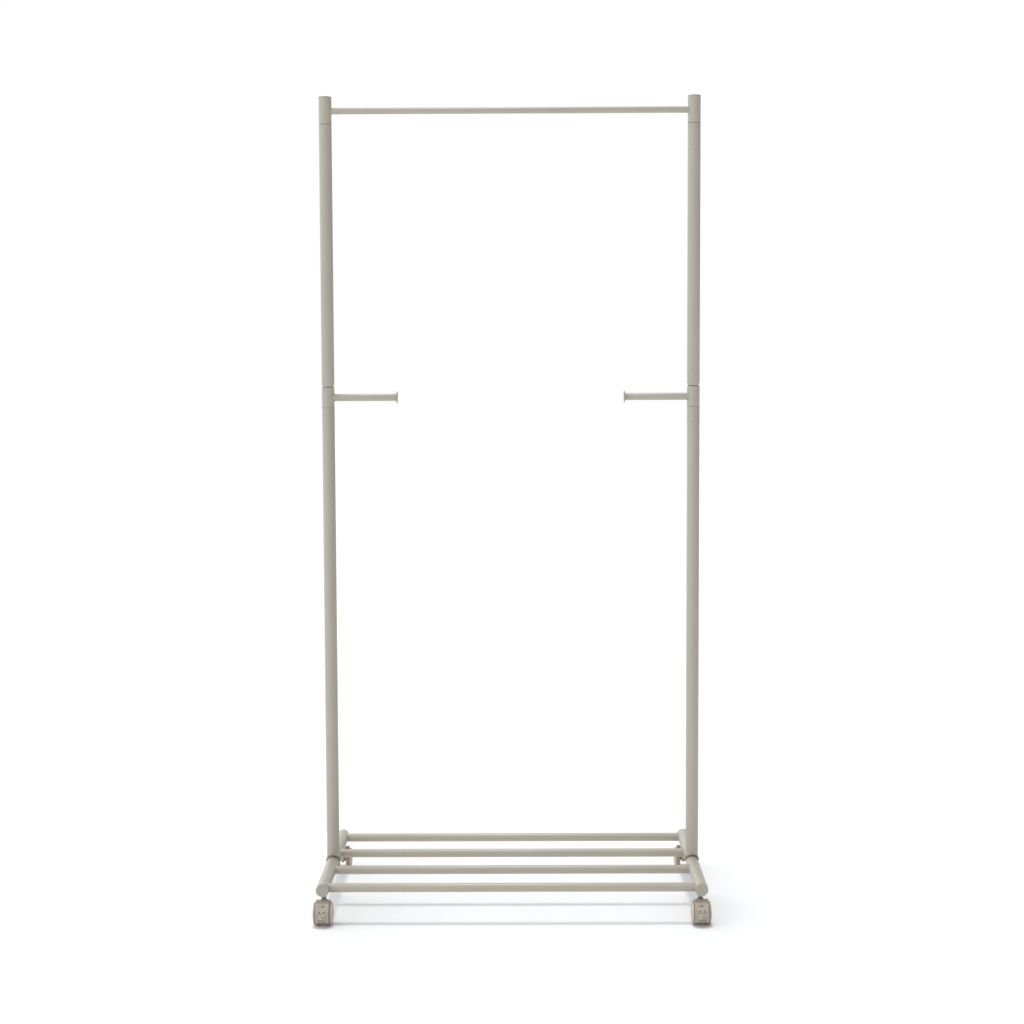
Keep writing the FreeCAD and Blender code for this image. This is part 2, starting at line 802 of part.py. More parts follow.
def make_axle(name, end, x):
    """Steel axle, pressed in the hood, on which both wheels spin."""
    radius, half = "axle_diameter / 2", "axle_half_length"
    body = turned(f"{name}_axle", [
        ("0", f"-{half}"), (f"{radius} - 0.5", f"-{half}"), (radius, f"0.5 - {half}"),
        (radius, f"{half} - 0.5"), (f"{radius} - 0.5", half), ("0", half),
    ])
    place_on_axle(body, end, x, turn=ALONG_X)
    keep(body)


def make_wheel(label, end, x, turn):
    """Wheel with a hub, a flat tread and a domed outer cover."""
    radius, rim = "wheel_diameter / 2", "(wheel_diameter / 2 - 1)"
    bore = "axle_diameter / 2 + running_fit"
    blind = "axle_half_length + air_gap"
    body = new_body(label)
    sketch = new_sketch(body, "XY")
    sagitta = "(caster_half_width - dome_edge)"
    outline(sketch, [
        ("wheel_face", bore), (blind, bore), (blind, "0"), ("caster_half_width", "0",
         f"({rim} * {rim} + {sagitta} * {sagitta}) / (2 * {sagitta})"),
        ("dome_edge", rim), ("tread_outer + 1", rim), ("tread_outer + 1", f"{radius} - 2"),
        ("tread_outer + 0.4", f"{radius} - 2"), ("tread_outer + 0.4", f"{radius} - 0.8"),
        ("tread_outer - 0.4", radius), ("tread_inner", radius),
        ("tread_inner - 1", f"{radius} - 1"), ("tread_inner - 1", f"{radius} - 4"),
        ("15", f"{radius} - 5"), ("15", "7"), ("wheel_face", "7"),
    ])
    revolve(body, sketch, "X")
    place_on_axle(body, end, x, turn)
    keep(body)


def make_brake(name, end, x):
    """Brake pedal, forked around the hood's web, and the pin that it turns on."""
    body = new_body(f"{name}_brake_pedal")
    side_view = new_sketch(body, "YZ")
    outline(side_view, [
        ("pin_forward - 3", "pin_rise - 3"), ("pin_forward + 3", "pin_rise - 5"),
        ("27.3", "-6"), ("29", "-5"), ("29.6", "-3.5"), ("29.7", "3.4"), ("28.8", "4.8"),
        ("26.8", "5.6"), ("pin_forward + 2", "pin_rise + 3"), ("pin_forward - 2", "pin_rise + 3"),
        ("pin_forward - 3", "pin_rise + 2"),
    ])
    pad(body, side_view, "2 * pedal_half_width", symmetric=True)
    fork = new_sketch(body, "XZ")
    gap = "(web_half_width + air_gap)"
    rectangle(fork, f"-{gap}", "-20", gap, "20")
    pocket(body, fork, "pin_forward + 6.5")
    bore = new_sketch(body, "YZ")
    circle(bore, "pin_diameter / 2 + running_fit", "pin_forward", "pin_rise")
    pocket(body, bore, both_ways=True)
    place_on_axle(body, end, x)
    keep(body)

    half = "(pedal_half_width - 0.3)"
    pin = turned(f"{name}_brake_pin", [
        ("0", f"-{half}"), ("pin_diameter / 2", f"-{half}"), ("pin_diameter / 2", half),
        ("0", half),
    ])
    forward = ENDS[end]
    place(pin, x=x, y=f"{forward} * (caster_setback + trail + pin_forward)",
          z="wheel_diameter / 2 + pin_rise", turn=ALONG_X)
    keep(pin)


def make_caster(name, side, end, x):
    """One twin-wheel caster, without its stem."""
    make_hood(name, end, x)
    make_axle(name, end, x)
    to_right = UPRIGHT if end == "rear" else HALF_TURN
    to_left = HALF_TURN * to_right
    outer, inner = (to_left, to_right) if side == "left" else (to_right, to_left)
    make_wheel(f"{name}_outer_wheel", end, x, outer)
    make_wheel(f"{name}_inner_wheel", end, x, inner)
    if end == BRAKED_END:
        make_brake(name, end, x)


# The whole rack

def make_rack():
    """Every piece of the rack, from the base up."""
    for side in SIDES:
        make_side_rail(side)
        for end, forward in ENDS.items():
            facing = ALONG_Y if end == "front" else HALF_TURN * ALONG_Y
            make_end_cap(f"{end}_{side}_rail_cap", x=post_x(side), z="rail_height",
                         y=f"{forward} * (rail_length / 2 - cap_thickness)", turn=facing)
        make_foot_saddle(side)
        make_lower_post(side)
        make_post_spigot(side)
        make_hook_sleeve(side)
        make_hook_peg(side)
        make_peg_end_disc(side)
        make_upper_post(side)
        make_top_spigot(side)
        make_top_tee(side)
        make_end_cap(f"{side}_top_cap", x=post_x(side), z="rack_height - cap_thickness")
    make_hanging_rail()
    for index in range(BAR_COUNT):
        make_base_bar(index)
    make_cross_screws()
    make_foot_fasteners()
    make_inserts("hanging_rail_inserts", "hanging_diameter / 2 - hanging_wall",
                 [("0", "hanging_height")])
    make_inserts("peg_inserts", "peg_diameter / 2 - tube_wall", [("0", "peg_height")])
    make_inserts("base_bar_inserts", "bar_diameter / 2 - tube_wall",
                 [(bar_y(index), "rail_height") for index in range(BAR_COUNT)])
    make_caster_stems()
    for name, side, end, x, y in caster_spots():
        make_caster(name, side, end, x)


def check_and_export():
    """Stop on any failed object or bad shape, then write each node's STEP file."""
    doc.recompute()
    for piece in doc.Objects:
        if {"Invalid", "Error"} & set(piece.State):
            raise RuntimeError(f"{piece.Label} failed: {piece.State}")
    for node in nodes:
        if node.Shape.isNull() or not node.Shape.isValid():
            raise RuntimeError(f"{node.Label} has no valid shape")
    os.makedirs("parts", exist_ok=True)
    for node in nodes:
        node.Shape.exportStep(f"parts/{node.Label}.step")
    print(len(nodes), "nodes written")


fill_sheet()
make_rack()
check_and_export()
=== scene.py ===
"""Looks, materials, stage and camera for a rolling clothes rack, laid out as an add-on."""

import math

import bmesh
import bpy
from mathutils import Matrix, Vector


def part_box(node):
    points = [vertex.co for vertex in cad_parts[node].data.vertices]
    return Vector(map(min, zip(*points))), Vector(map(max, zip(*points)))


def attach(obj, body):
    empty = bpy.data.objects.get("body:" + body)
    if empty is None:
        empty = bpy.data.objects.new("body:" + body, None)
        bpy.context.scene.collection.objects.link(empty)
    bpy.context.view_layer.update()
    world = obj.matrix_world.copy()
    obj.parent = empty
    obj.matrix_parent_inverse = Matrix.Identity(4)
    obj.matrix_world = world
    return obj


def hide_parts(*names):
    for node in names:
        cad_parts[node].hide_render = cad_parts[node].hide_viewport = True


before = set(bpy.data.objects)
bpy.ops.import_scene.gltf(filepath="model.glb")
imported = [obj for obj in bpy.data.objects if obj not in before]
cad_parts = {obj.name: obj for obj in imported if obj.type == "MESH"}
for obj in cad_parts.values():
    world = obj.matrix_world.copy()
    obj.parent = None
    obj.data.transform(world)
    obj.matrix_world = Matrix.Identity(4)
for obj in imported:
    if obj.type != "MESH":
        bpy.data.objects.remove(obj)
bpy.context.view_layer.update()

bl_info = {
    "name": "Rolling clothes rack",
    "version": (1, 0, 0),
    "blender": (4, 5, 0),
    "location": "3D View > Sidebar > Rack",
    "description": "Builds the finished looks of a rolling clothes rack around its packed frame",
    "category": "Object",
}

MM = 0.001
SIDES = {"left": -1, "right": 1}
ENDS = {"front": -1, "rear": 1}
CASTERS = [(f"{end}_{side}", side, end) for end in ENDS for side in SIDES]

# Sizes in millimetres
TUBE_RADIUS, TUBE_WALL = 14.0, 1.5
HANGING_RAIL_RADIUS, HANGING_RAIL_WALL = 7.0, 1.2
PEG_RADIUS, BAR_RADIUS = 8.0, 9.5
TUBE_END_ROUNDING = 0.4
SADDLE_CROWN = 17.0
BASE_BARS = 4


# Shader nodes

class Wire:
    """A node's output that can be used in sums with numbers and other outputs."""

    def __init__(self, graph, socket):
        self.graph, self.socket = graph, socket

    def maths(self, operation, first, second):
        """Add a Math node over two values."""
        return self.graph.node("ShaderNodeMath", {"operation": operation}, {0: first, 1: second})

    def __add__(self, other):
        return self.maths("ADD", self, other)

    def __radd__(self, other):
        return self.maths("ADD", other, self)

    def __sub__(self, other):
        return self.maths("SUBTRACT", self, other)

    def __rsub__(self, other):
        return self.maths("SUBTRACT", other, self)

    def __mul__(self, other):
        return self.maths("MULTIPLY", self, other)

    def __rmul__(self, other):
        return self.maths("MULTIPLY", other, self)


class Finish:
    """Shader nodes of a material or of the surroundings."""

    def __init__(self, owner):
        self.owner = owner
        owner.use_nodes = True
        self.tree = owner.node_tree
        self.tree.nodes.clear()
        self.place = self.node("ShaderNodeTexCoord", output="Object")

    def node(self, kind, settings=None, inputs=None, output=0):
        """Add a node, set it up, feed its inputs and hand back one output."""
        node = self.tree.nodes.new(kind)
        for key, value in (settings or {}).items():
            setattr(node, key, value)
        for key, value in (inputs or {}).items():
            if isinstance(value, Wire):
                self.tree.links.new(value.socket, node.inputs[key])
            else:
                node.inputs[key].default_value = value
        return Wire(self, node.outputs[output]) if node.outputs else None

    def stretched(self, scale):
        """Object coordinates, stretched along each axis."""
        return self.node("ShaderNodeMapping", None, {"Vector": self.place, "Scale": scale})

    def noise(self, size, detail=2.0, roughness=0.5, vector=None):
        """Noise from 0 to 1 with features of about a size in metres."""
        return self.node("ShaderNodeTexNoise", None, {
            "Vector": vector or self.place, "Scale": 1 / size,
            "Detail": detail, "Roughness": roughness}, "Fac")

    def band(self, value, low, high):
        """A value from 0 below one level to 1 above another."""
        return self.node("ShaderNodeMapRange", {"interpolation_type": "SMOOTHSTEP", "clamp": True},
                         {"Value": value, "From Min": low, "From Max": high,
                          "To Min": 0.0, "To Max": 1.0})

    def blend(self, amount, first, second):
        """A mix of two colours."""
        def colour(value):
            return value if isinstance(value, Wire) else (*value, 1)
        return self.node("ShaderNodeMix", {"data_type": "RGBA"},
                         {0: amount, 6: colour(first), 7: colour(second)}, 2)

    def axis(self, name):
        """One coordinate of the surface in metres."""
        return self.node("ShaderNodeSeparateXYZ", None, {"Vector": self.place}, name)

    def bump(self, height, depth, strength):
        """A normal from a height, where a height of 1 stands out by a depth in metres."""
        return self.node("ShaderNodeBump", None, {
            "Height": height, "Distance": depth, "Strength": strength})

    def surface(self, **values):
        """Close the material with a shader whose sockets take these values."""
        inputs = {key.replace("_", " "): value for key, value in values.items()}
        for key, value in inputs.items():
            if isinstance(value, tuple) and len(value) == 3:
                inputs[key] = (*value, 1)
        shader = self.node("ShaderNodeBsdfPrincipled", None, inputs)
        self.node("ShaderNodeOutputMaterial", None, {"Surface": shader})
        return self.owner


# Finishes

DUST_COLOUR = (0.42, 0.37, 0.30)


def shaded(colour, factor):
    """A colour made darker or lighter by a factor."""
    return tuple(min(1, part * factor) for part in colour)


def painted_steel(looks):
    """Powder-coated tube: satin, with orange peel and fine speckle."""
    finish = Finish(bpy.data.materials.new("powder_coat"))
    drift = finish.noise(0.12, 3)
    speckle = finish.noise(0.0011, 2, 0.6)
    peel = finish.noise(0.0028, 1.5, 0.4)
    rub = finish.band(finish.noise(0.035, 5, 0.62), 0.58, 0.74)
    base = looks.paint_colour
    colour = finish.blend(drift, shaded(base, 0.93), shaded(base, 1.07))
    colour = finish.blend(speckle * 0.22, colour, shaded(base, 0.8))
    normal = finish.bump(peel * 0.75 + speckle * 0.25, 0.00012, 0.5)
    return finish.surface(Base_Color=colour, Normal=normal, Specular_IOR_Level=0.7,
                          Roughness=0.38 + (speckle - 0.5) * 0.12 - rub * 0.07)


def moulded(name, base, grain, roughness, dust=0.0):
    """Injection-moulded plastic: fine spark texture, faint flow marks, dust near the floor."""
    finish = Finish(bpy.data.materials.new(name))
    texture = finish.noise(grain, 3, 0.65)
    flow = finish.noise(0.006, 3, 0.55, finish.stretched((1, 1, 0.35)))
    colour = finish.blend(flow, shaded(base, 0.94), shaded(base, 1.06))
    if dust:
        low = 1 - finish.band(finish.axis("Z"), 0.004, 0.03)
        patches = finish.band(finish.noise(0.004, 4, 0.6), 0.4, 0.75)
        colour = finish.blend(low * patches * dust, colour, DUST_COLOUR)
    normal = finish.bump(texture * 0.7 + flow * 0.3, 0.00008, 0.45)
    return finish.surface(Base_Color=colour, Normal=normal, Specular_IOR_Level=0.45,
                          Roughness=roughness + (texture - 0.5) * 0.16)


def tread_rubber(looks):
    """Hard tread: warmer than the covers, scuffed by the floor."""
    finish = Finish(bpy.data.materials.new("tread"))
    grain = finish.noise(0.0009, 3, 0.7)
    scuff = finish.band(finish.noise(0.004, 4, 0.7, finish.stretched((4, 1, 1))), 0.45, 0.7)
    base = tuple(looks.tread_colour)
    colour = finish.blend(scuff * 0.55, base, shaded(base, 1.35))
    normal = finish.bump(grain, 0.0001, 0.6)
    return finish.surface(Base_Color=colour, Normal=normal, Specular_IOR_Level=0.35,
                          Roughness=0.62 + (grain - 0.5) * 0.2)


def zinc_plate():
    """Bright zinc plating on turned steel."""
    finish = Finish(bpy.data.materials.new("zinc"))
    lathe = finish.noise(0.0006, 1, 0.5, finish.stretched((0.25, 0.25, 3)))
    cloud = finish.noise(0.003, 3, 0.6)
    colour = finish.blend(cloud, (0.34, 0.335, 0.32), (0.52, 0.51, 0.49))
    normal = finish.bump(lathe, 0.00003, 0.5)
    return finish.surface(Base_Color=colour, Metallic=1.0, Normal=normal,
                          Roughness=0.27 + cloud * 0.16)


def neck_shade_steel():
    """Near-black painted shade on the spigots, seen only in the necks of the posts, standing in
    for the shade in their open joints.
    """
    finish = Finish(bpy.data.materials.new("neck_shade"))
    cloud = finish.noise(0.002, 3, 0.6)
    # near-black colours: painted shade for the dark gaps at the necks
    colour = finish.blend(cloud, (0.05, 0.046, 0.04), (0.085, 0.078, 0.068))
    return finish.surface(Base_Color=colour, Metallic=0.3, Roughness=0.55 + cloud * 0.2)


def studio_floor():
    """Pale matt floor."""
    finish = Finish(bpy.data.materials.new("studio_floor"))
    cloud = finish.noise(1.5, 2)
    colour = finish.blend(cloud, (0.86, 0.86, 0.86), (0.88, 0.88, 0.88))
    return finish.surface(Base_Color=colour, Specular_IOR_Level=0.1,
                          Roughness=0.9 + cloud * 0.05)


def material(name):
    """A finish by name, made the first time it is asked for."""
    looks = bpy.context.scene.rack_looks
    makers = {
        "powder_coat": lambda: painted_steel(looks),
        "cap": lambda: moulded("cap", looks.cap_colour, 0.0006, 0.42),
        # the saddle finish is painted shade, darker than the caps, for the gap under each post
        "saddle": lambda: moulded("saddle", looks.saddle_colour, 0.0006, 0.55),
        "caster": lambda: moulded("caster", looks.caster_colour, 0.0007, 0.5, 0.35),
        "cover": lambda: moulded("cover", looks.cover_colour, 0.0007, 0.46, 0.3),
        "pedal": lambda: moulded("pedal", looks.pedal_colour, 0.0006, 0.48, 0.25),
        "tread": lambda: tread_rubber(looks),
        "zinc": zinc_plate,
        # near-black painted shade for the spigots in the necks of the posts
        "neck_shade": neck_shade_steel,
        "studio_floor": studio_floor,
    }
    return bpy.data.materials.get(name) or makers[name]()


SLOT_FINISHES = {
    "frame_paint": "powder_coat", "cap_plastic": "cap", "caster_plastic": "caster",
    "wheel_plastic": "cover", "pedal_plastic": "pedal", "zinc_steel": "zinc",
}


# Shapes

def spun(profile, steps=64, closed=True):
    """A shape turned about Z from radius and height pairs in millimetres."""
    shape = bmesh.new()
    corners = [shape.verts.new((radius * MM, 0, height * MM)) for radius, height in profile]
    runs = list(zip(corners, corners[1:]))
    if closed:
        runs.append((corners[-1], corners[0]))
    lines = [shape.edges.new(run) for run in runs]
    bmesh.ops.spin(shape, geom=corners + lines, axis=(0, 0, 1), cent=(0, 0, 0),
                   angle=math.tau, steps=steps, use_merge=True)
    bmesh.ops.remove_doubles(shape, verts=shape.verts[:], dist=1e-6)
    bmesh.ops.recalc_face_normals(shape, faces=shape.faces[:])
    return shape


def rounded(shape, width, segments=3, sharper=28, chosen=None):
    """Round the edges that are sharper than an angle, by a width in millimetres."""
    edges = [edge for edge in shape.edges
             if edge.is_manifold and edge.calc_face_angle(0) > math.radians(sharper)
             and (chosen is None or chosen(edge))]
    bmesh.ops.bevel(shape, geom=edges, offset=width * MM, offset_type="OFFSET",
                    segments=segments, profile=0.5, affect="EDGES", material=-1,
                    clamp_overlap=True)


def finished(shape, name, body, finish, place, replaces=(), smooth=40):
    """Put a shape in its place as a piece that rides on a body."""
    bmesh.ops.transform(shape, matrix=place, verts=shape.verts[:])
    mesh = bpy.data.meshes.new(name)
    shape.to_mesh(mesh)
    shape.free()
    mesh.shade_smooth()
    mesh.set_sharp_from_angle(angle=math.radians(smooth))
    mesh.materials.append(material(finish))
    piece = bpy.data.objects.new(name, mesh)
    bpy.context.scene.collection.objects.link(piece)
    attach(piece, body)
    if replaces:
        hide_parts(*replaces)


def middle(node):
    """The middle of a node's box."""
    low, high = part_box(node)
    return (low + high) / 2


def along(direction):
    """A turn that lays Z along a direction."""
    return Vector(direction).to_track_quat("Z", "Y").to_matrix().to_4x4()


def tube_across(node, radius, wall):
    """A round tube with rolled ends, from left to right, in the place of a node."""
    low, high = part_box(node)
    half = (high.x - low.x) / 2 / MM
    shape = spun([(radius, -half), (radius, half), (radius - wall, half), (radius - wall, -half)])
    rounded(shape, TUBE_END_ROUNDING)
    place = Matrix.Translation(middle(node)) @ along((1, 0, 0))
    finished(shape, f"{node}_skin", "frame", "powder_coat", place, (node,))


# Posts, rails and pegs

def lower_post(side, looks):
    """Tube whose foot is shaped to the crown of the saddle under it."""
    node = f"{side}_lower_post"
    centre, top_edge = middle(node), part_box(node)[1].z
    rail = middle(f"{side}_side_rail").z / MM
    foot, collar, foot_gap = rail + 5, rail + 24, 0.8
    top = top_edge / MM - looks.seam / MM / 2
    outside, inside = TUBE_RADIUS, TUBE_RADIUS - TUBE_WALL
    shape = spun([(outside, foot), (outside, collar), (outside, top),
                  (inside, top), (inside, collar), (inside, foot)])
    rounded(shape, looks.edge_rounding / MM,
            chosen=lambda edge: edge.verts[0].co.z > top_edge - MM)
    for vert in shape.verts:
        if vert.co.z < (foot + 1) * MM:
            crown = math.sqrt((SADDLE_CROWN * MM) ** 2 - vert.co.x ** 2)
            vert.co.z = rail * MM + crown + foot_gap * MM
    place = Matrix.Translation((centre.x, centre.y, 0))
    finished(shape, f"{node}_skin", "frame", "powder_coat", place, (node,))


def upper_post(side, looks):
    """Tube drawn in a little at its foot, where it grips the spigot."""
    node = f"{side}_upper_post"
    low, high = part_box(node)
    centre = middle(node)
    foot, top = low.z / MM - 0.6, high.z / MM - looks.seam / MM
    outside, inside, grip = TUBE_RADIUS, TUBE_RADIUS - TUBE_WALL, 10.8
    shape = spun([
        (grip, foot), (12.3, foot), (12.75, foot + 1.2), (13.75, foot + 5.2),
        (outside, foot + 6.8), (outside, top), (inside, top), (inside, foot + 7),
        (grip, foot + 2)])

    def at_cut_end(edge):
        level = edge.verts[0].co.z
        return level > high.z - MM or level < low.z

    rounded(shape, looks.edge_rounding / MM, chosen=at_cut_end)
    place = Matrix.Translation((centre.x, centre.y, 0))
    finished(shape, f"{node}_skin", "frame", "powder_coat", place, (node,))


class RACK_OT_posts(bpy.types.Operator):
    """Smooth tubes for the two posts"""
    bl_idname = "rack.posts"
    bl_label = "Posts"

    def execute(self, context):
        looks = context.scene.rack_looks
        for side in SIDES:
            lower_post(side, looks)
            upper_post(side, looks)
        return {"FINISHED"}


class RACK_OT_rails(bpy.types.Operator):
    """Hanging rail, pegs and base bars"""
    bl_idname = "rack.rails"
    bl_label = "Rails and pegs"

    def execute(self, context):
        tube_across("hanging_rail", HANGING_RAIL_RADIUS, HANGING_RAIL_WALL)
        for side in SIDES:
            tube_across(f"{side}_hook_peg", PEG_RADIUS, TUBE_WALL)
        for index in range(1, BASE_BARS + 1):
            tube_across(f"base_bar_{index}", BAR_RADIUS, TUBE_WALL)
        return {"FINISHED"}


# Caps, discs and saddles

def end_cap(node, direction):
    """Pressed-in plastic cap with a soft crown, a gate mark and a plug behind it."""
    low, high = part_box(node)
    axis = max(range(3), key=lambda i: abs(direction[i]))
    face = (high if direction[axis] > 0 else low)[axis]
    crown, rim, plug_end = 2.5, TUBE_RADIUS, -10
    shape = spun([
        (0, crown - 0.25), (0.9, crown - 0.25), (1.2, crown - 0.03), (7.5, crown),
        (12.6, crown - 0.04), (13.35, crown - 0.16), (13.82, crown - 0.5), (rim, crown - 1.0),
        (rim, 0.75), (13.9, 0.55), (13.5, 0.45), (13.4, 0), (12.4, 0), (12.3, plug_end + 1),
        (11.6, plug_end), (0, plug_end)], closed=False)
    centre = middle(node)
    centre[axis] = face - crown * MM * math.copysign(1, direction[axis])
    place = Matrix.Translation(centre) @ along(direction)
    finished(shape, f"{node}_skin", "frame", "cap", place, (node,), smooth=32)


def peg_disc(side):
    """Flared disc on a peg's end, dished on its face."""
    node = f"{side}_peg_end_disc"
    low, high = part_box(node)
    sign, thickness, plug_radius, plug_end = SIDES[side], 3.0, 6.3, -10
    inner = high.x if sign < 0 else low.x
    shape = spun([
        (0, 2.55), (9.5, 2.6), (11.2, 2.8), (12.2, thickness), (13.2, 2.95), (13.8, 2.6),
        (14, 2.1), (13.85, 1.7), (13.2, 1.35), (10.8, 0.75), (8.9, 0.15), (8.4, -0.25),
        (8.05, -0.3), (plug_radius, -0.3), (plug_radius, plug_end + 0.6),
        (plug_radius - 0.5, plug_end), (0, plug_end)], closed=False)
    centre = middle(node)
    centre.x = inner + sign * thickness * MM
    place = Matrix.Translation(centre) @ along((-sign, 0, 0))
    finished(shape, f"{side}_peg_disc_skin", "frame", "cap", place, (node,),
             smooth=50)


def foot_saddle(side):
    """Saddle washer that lies over the side rail and carries the post."""
    node = f"{side}_foot_saddle"
    rail = middle(f"{side}_side_rail")
    radii = [12.3, 13.2, 14.2, 15.2, 16.0, 16.4, 16.5]
    edge_drop = {16.0: 0.12, 16.4: 0.45, 16.5: 0.8}
    upper, lower = SADDLE_CROWN, TUBE_RADIUS + 0.02
    lowest_upper, lowest_lower = 2.6, 2.0
    shape = spun([(r, upper) for r in radii] + [(r, lower) for r in reversed(radii)], steps=72)
    for vert in shape.verts:
        reach = round(math.hypot(vert.co.x, vert.co.y) / MM, 1)
        drop = edge_drop.get(reach, 0.0)
        on_top = vert.co.z > (upper + lower) / 2 * MM
        crown = upper if on_top else lower
        height = math.sqrt(max(0.0, crown ** 2 - (vert.co.x / MM) ** 2))
        if on_top:
            vert.co.z = (max(height, lowest_upper) - drop) * MM
        else:
            vert.co.z = (max(height, lowest_lower) + drop * 0.4) * MM
    place = Matrix.Translation((rail.x, 0, rail.z))
    # the saddle's dark finish paints the shade in the gap under the post's foot
    finished(shape, f"{node}_skin", "frame", "saddle", place, (node,), smooth=50)


class RACK_OT_caps(bpy.types.Operator):
    """End caps, peg discs and the saddles under the posts"""
    bl_idname = "rack.caps"
    bl_label = "Caps, discs and saddles"

    def execute(self, context):
        for side in SIDES:
            end_cap(f"{side}_top_cap", (0, 0, 1))
            for end, forward in ENDS.items():
                end_cap(f"{end}_{side}_rail_cap", (0, forward, 0))
            peg_disc(side)
            foot_saddle(side)
        return {"FINISHED"}


# Casters

def caster_place(name, end):
    """The axle's middle, with Y towards the face of the hood."""
    axle = middle(f"{name}_axle")
    turn = Matrix.Rotation(math.pi, 4, "Z") if end == "front" else Matrix()
    return Matrix.Translation(axle) @ turn


def wheel(name, side, which):
    """Domed cover with its core, and the tread round it."""
    node = f"{name}_{which}_wheel"
    outward = SIDES[side] * (1 if which == "outer" else -1)
    place = Matrix.Translation(middle(f"{name}_axle")) @ along((outward, 0, 0))
    cover = spun([
        (0, 21.9), (2.2, 21.9), (2.7, 22.3), (5.2, 22.2), (5.7, 21.9), (5.9, 21.3), (6.9, 21.1),
        (7.2, 21.6), (7.6, 21.95), (10, 21.78), (13, 21.38), (16, 20.88), (18.5, 20.4),
        (18.9, 20.1), (19.1, 19.4), (20.0, 19.2), (20.3, 19.6), (20.6, 19.98), (22, 19.6),
        (23.1, 19.2), (23.8, 18.7), (24.05, 18.1), (24.05, 17.7), (23.8, 17.4), (23.3, 17.35),
        (22.2, 17.3), (22.2, 9.2), (21.4, 8.9), (20.4, 9.4), (20, 14.6), (7.6, 14.6),
        (7.1, 13.8), (7, 8.6), (6.6, 8.2), (3.05, 8.2), (3.05, 18.3), (0, 18.3)],
        steps=80, closed=False)
    finished(cover, f"{node}_cover", node, "cover", place, (node,), smooth=38)
    tread = spun([(22.1, 9.0), (23.6, 8.75), (24.4, 9.05), (24.9, 9.75), (25, 10.6), (25, 12.1),
                  (24.85, 12.3), (24.85, 12.6), (25, 12.8), (25, 14.3), (24.7, 15.0),
                  (24.1, 15.4), (22.9, 15.6), (22.7, 16.0), (22.7, 17.25), (22.1, 17.25)],
                 steps=80)
    finished(tread, f"{node}_tread", node, "tread", place, smooth=50)


def made(result, kind):
    """The new corners or faces that an extrusion hands back."""
    return [item for item in result["geom"] if isinstance(item, kind)]


def brake_pedal(name, end):
    """Pad with rounded edges, two arms beside the hood's web, and a tongue under the pad."""
    node = f"{name}_brake_pedal"
    back, rounding, tongue_tilt = 21.5, 0.45, math.radians(-39)
    shape = bmesh.new()
    outline = [(back, -2.9), (27.0, -5.8), (28.6, -5.2), (29.4, -4.0), (29.6, -2.0), (29.6, 2.6),
               (29.2, 4.1), (28.3, 5.0), (26.8, 5.5), (back, 6.3)]
    stations = [-7.8, -3.4, 3.4, 7.8]
    face = shape.faces.new([shape.verts.new((stations[0] * MM, y * MM, z * MM))
                            for y, z in outline])
    for start, stop in zip(stations, stations[1:]):
        grown = bmesh.ops.extrude_face_region(shape, geom=[face],
                                              use_keep_orig=start == stations[0])
        bmesh.ops.translate(shape, vec=((stop - start) * MM, 0, 0),
                            verts=made(grown, bmesh.types.BMVert))
        face = made(grown, bmesh.types.BMFace)[0]
    bmesh.ops.recalc_face_normals(shape, faces=shape.faces[:])

    def starts_an_arm(face):
        centre = face.calc_center_median()
        return abs(centre.y - back * MM) < 1e-6 and abs(centre.x) > stations[2] * MM

    arms = [face for face in shape.faces if starts_an_arm(face)]
    for reach, bottom, top in ((16.5, -0.6, 6.9), (13.4, 0.9, 6.9), (12.0, 2.2, 5.6)):
        pulled = bmesh.ops.extrude_face_region(shape, geom=arms)
        corners, arms = made(pulled, bmesh.types.BMVert), made(pulled, bmesh.types.BMFace)
        heights = [vert.co.z for vert in corners]
        halfway = (max(heights) + min(heights)) / 2
        for vert in corners:
            vert.co.y = reach * MM
            vert.co.z = (top if vert.co.z > halfway else bottom) * MM
    tongue = (Matrix.Translation((0, 24.1 * MM, -8.6 * MM))
              @ Matrix.Rotation(tongue_tilt, 4, "X")
              @ Matrix.Diagonal((15.0 * MM, 1.5 * MM, 7.8 * MM, 1)))
    bmesh.ops.create_cube(shape, size=1, matrix=tongue)
    bmesh.ops.recalc_face_normals(shape, faces=shape.faces[:])
    rounded(shape, rounding, segments=2, sharper=30)
    finished(shape, f"{node}_skin", node, "pedal", caster_place(name, end),
             (node,))


def hood_rims(name, end):
    """Raised beads along both edges of the hood."""
    start, sweep = math.radians(-27.5), math.radians(187)
    section = [(12.3, 27.7), (12.4, 28.3), (12.75, 28.75), (13.3, 28.95), (13.8, 28.8),
               (14.25, 28.3), (14.45, 27.6), (14.45, 26.4), (14.1, 26.1), (13.6, 26.6),
               (12.3, 27.0)]
    for edge, sign in (("near", -1), ("far", 1)):
        shape = bmesh.new()
        corners = [shape.verts.new((sign * x * MM, r * MM * math.cos(start),
                                    r * MM * math.sin(start))) for x, r in section]
        face = shape.faces.new(corners)
        bmesh.ops.spin(shape, geom=[face], axis=(1, 0, 0), cent=(0, 0, 0), angle=sweep, steps=56)
        bmesh.ops.recalc_face_normals(shape, faces=shape.faces[:])
        finished(shape, f"{name}_hood_rim_{edge}", f"{name}_caster", "caster",
                 caster_place(name, end), smooth=60)


class RACK_OT_wheels(bpy.types.Operator):
    """Wheel covers and treads"""
    bl_idname = "rack.wheels"
    bl_label = "Wheels"

    def execute(self, context):
        for name, side, _ in CASTERS:
            for which in ("outer", "inner"):
                wheel(name, side, which)
        return {"FINISHED"}


class RACK_OT_hoods(bpy.types.Operator):
    """Raised rims on the caster hoods"""
    bl_idname = "rack.hoods"
    bl_label = "Hood rims"

    def execute(self, context):
        for name, _, end in CASTERS:
            hood_rims(name, end)
        return {"FINISHED"}


class RACK_OT_pedals(bpy.types.Operator):
    """Brake pedals on the front casters"""
    bl_idname = "rack.pedals"
    bl_label = "Brake pedals"

    def execute(self, context):
        for name, _, end in CASTERS:
            if end == "front":
                brake_pedal(name, end)
        return {"FINISHED"}


# Finishes on the carried-over nodes

